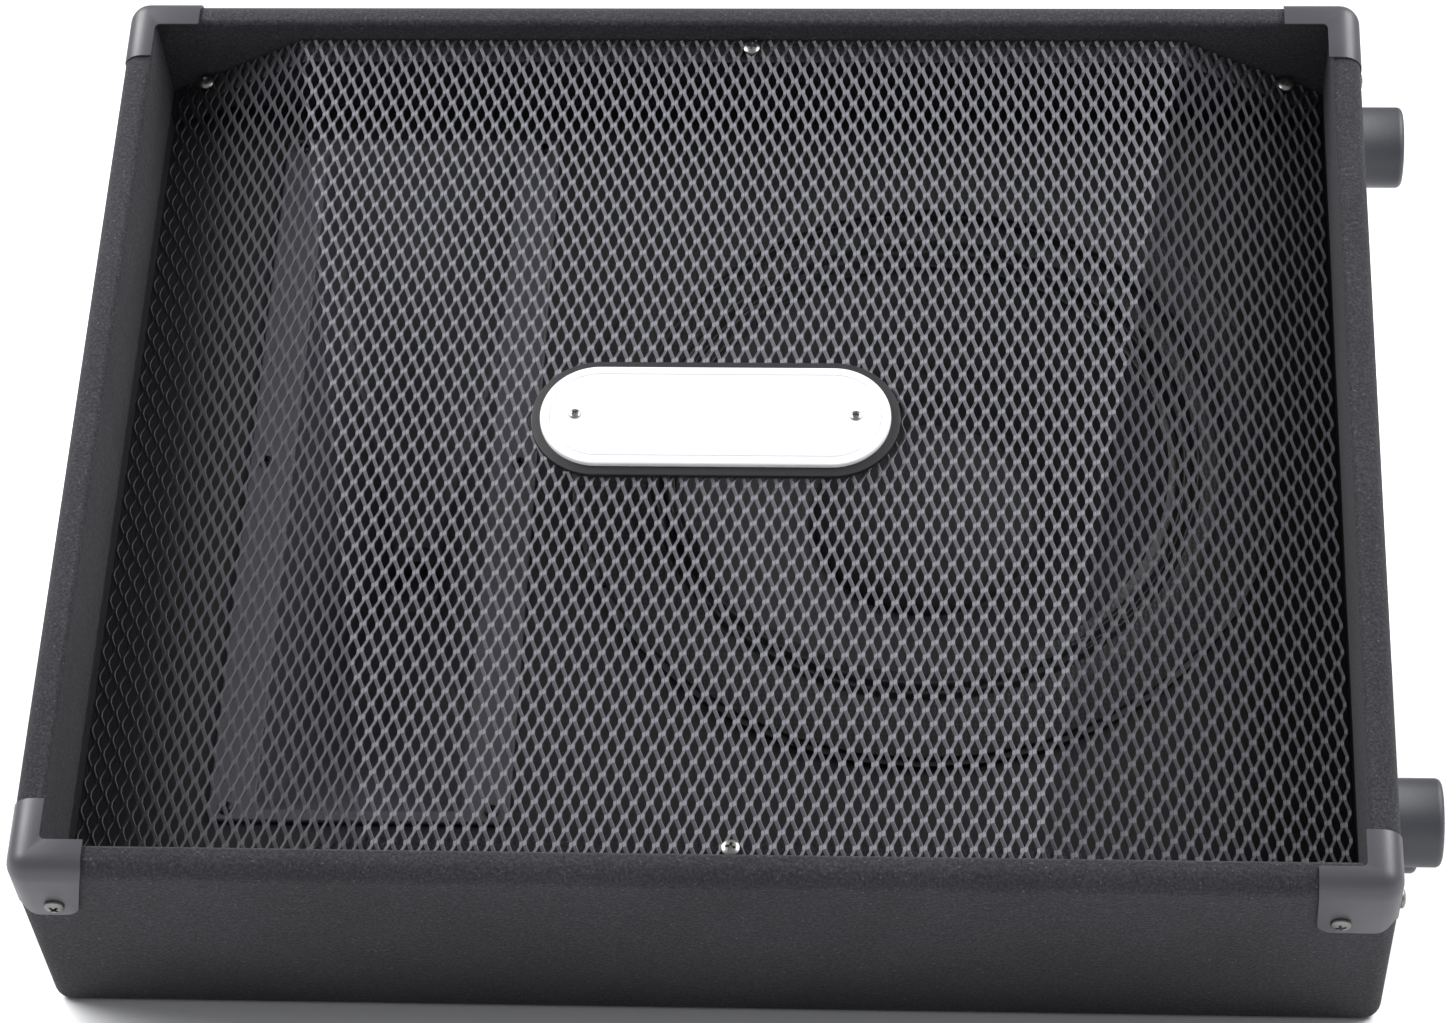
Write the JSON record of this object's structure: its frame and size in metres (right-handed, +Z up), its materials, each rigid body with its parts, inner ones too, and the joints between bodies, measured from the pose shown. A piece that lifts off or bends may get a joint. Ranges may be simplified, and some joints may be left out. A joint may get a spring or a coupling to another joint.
{
  "type": "stage monitor wedge",
  "caption": "Carpeted wedge-shaped floor loudspeaker with a recessed mesh grille, large woofer, tall horn, corner guards, side feet, pocket handle and rear sockets.",
  "frame": {"origin": "centre of the floor panel underside, on the surface the wedge rests on", "axes": "+Z up, +Y towards the vertical back, +X towards the side with the standing feet; the grille faces -Y and up at 55 degrees"},
  "size_m": [0.7195, 0.5423, 0.4348],
  "materials": {
    "carpeted_board": "charcoal polypropylene carpet glued on board",
    "black_board": "black painted board",
    "grille_steel": "grey powder coated expanded steel",
    "guard_plastic": "satin grey moulded plastic",
    "foot_rubber": "black rubber",
    "screw_steel": "bright zinc plated steel",
    "badge_enamel": "white enamelled nameplate, blank",
    "black_plastic": "black moulded plastic",
    "frame_steel": "black painted stamped steel",
    "cone_paper": "ribbed pulp paper",
    "surround_cloth": "doped cloth",
    "spider_cloth": "phenolic dipped cloth",
    "plated_steel": "zinc plated steel",
    "ferrite": "ferrite ceramic",
    "copper_wire": "enamelled copper wire",
    "horn_plastic": "grey moulded plastic",
    "titanium_foil": "titanium foil",
    "board_laminate": "glass epoxy circuit board",
    "capacitor_wrap": "film capacitor wrap",
    "resistor_ceramic": "cement resistor",
    "plate_steel": "black powder coated steel plate",
    "handle_plastic": "black moulded plastic"
  },
  "bodies": {
    "cabinet": {"floor_panel": "carpeted_board", "back_panel": "carpeted_board", "rear_lip_panel": "carpeted_board", "front_panel": "carpeted_board", "side_panel_left": "carpeted_board", "side_panel_right": "carpeted_board", "baffle": "black_board", "grille_cleat_front": "black_board", "grille_cleat_rear": "black_board", "grille": "grille_steel", "grille_screw_1": "screw_steel", "grille_screw_2": "screw_steel", "grille_screw_3": "screw_steel", "grille_screw_4": "screw_steel", "grille_screw_5": "screw_steel", "grille_screw_6": "screw_steel", "badge_plate": "badge_enamel", "badge_backing": "black_plastic", "corner_guard_front_left": "guard_plastic", "corner_guard_front_right": "guard_plastic", "corner_guard_rear_left": "guard_plastic", "corner_guard_rear_right": "guard_plastic", "side_foot_1": "foot_rubber", "side_foot_2": "foot_rubber", "side_foot_3": "foot_rubber", "side_foot_4": "foot_rubber", "woofer_frame": "frame_steel", "woofer_gasket": "surround_cloth", "woofer_surround": "surround_cloth", "woofer_spider": "spider_cloth", "woofer_top_plate": "plated_steel", "woofer_magnet": "ferrite", "woofer_back_plate": "plated_steel", "horn": "horn_plastic", "driver_front_plate": "plated_steel", "driver_magnet": "ferrite", "driver_rear_plate": "plated_steel", "driver_pole": "plated_steel", "driver_phase_plug": "black_plastic", "driver_back_cover": "black_plastic", "crossover_board": "board_laminate", "crossover_inductor_1": "copper_wire", "crossover_inductor_2": "copper_wire", "crossover_capacitor_1": "capacitor_wrap", "crossover_capacitor_2": "capacitor_wrap", "crossover_resistor": "resistor_ceramic", "input_plate": "plate_steel", "phone_socket_1": "black_plastic", "phone_socket_2": "black_plastic", "twist_lock_socket": "black_plastic", "pocket_handle": "handle_plastic"},
    "cone_assembly": {"woofer_cone": "cone_paper", "woofer_dust_cap": "cone_paper", "woofer_voice_coil": "copper_wire"},
    "diaphragm": {"driver_diaphragm": "titanium_foil"}
  },
  "joints": [
    {"name": "cone_travel", "type": "slide", "parent": "cabinet", "child": "cone_assembly", "axis": [0, -0.5736, 0.8192], "range_m": [-0.005, 0.005], "stiffness_N_per_m": 5000},
    {"name": "diaphragm_travel", "type": "slide", "parent": "cabinet", "child": "diaphragm", "axis": [0, -0.5736, 0.8192], "range_m": [-0.0003, 0.0003], "stiffness_N_per_m": 20000}
  ]
}
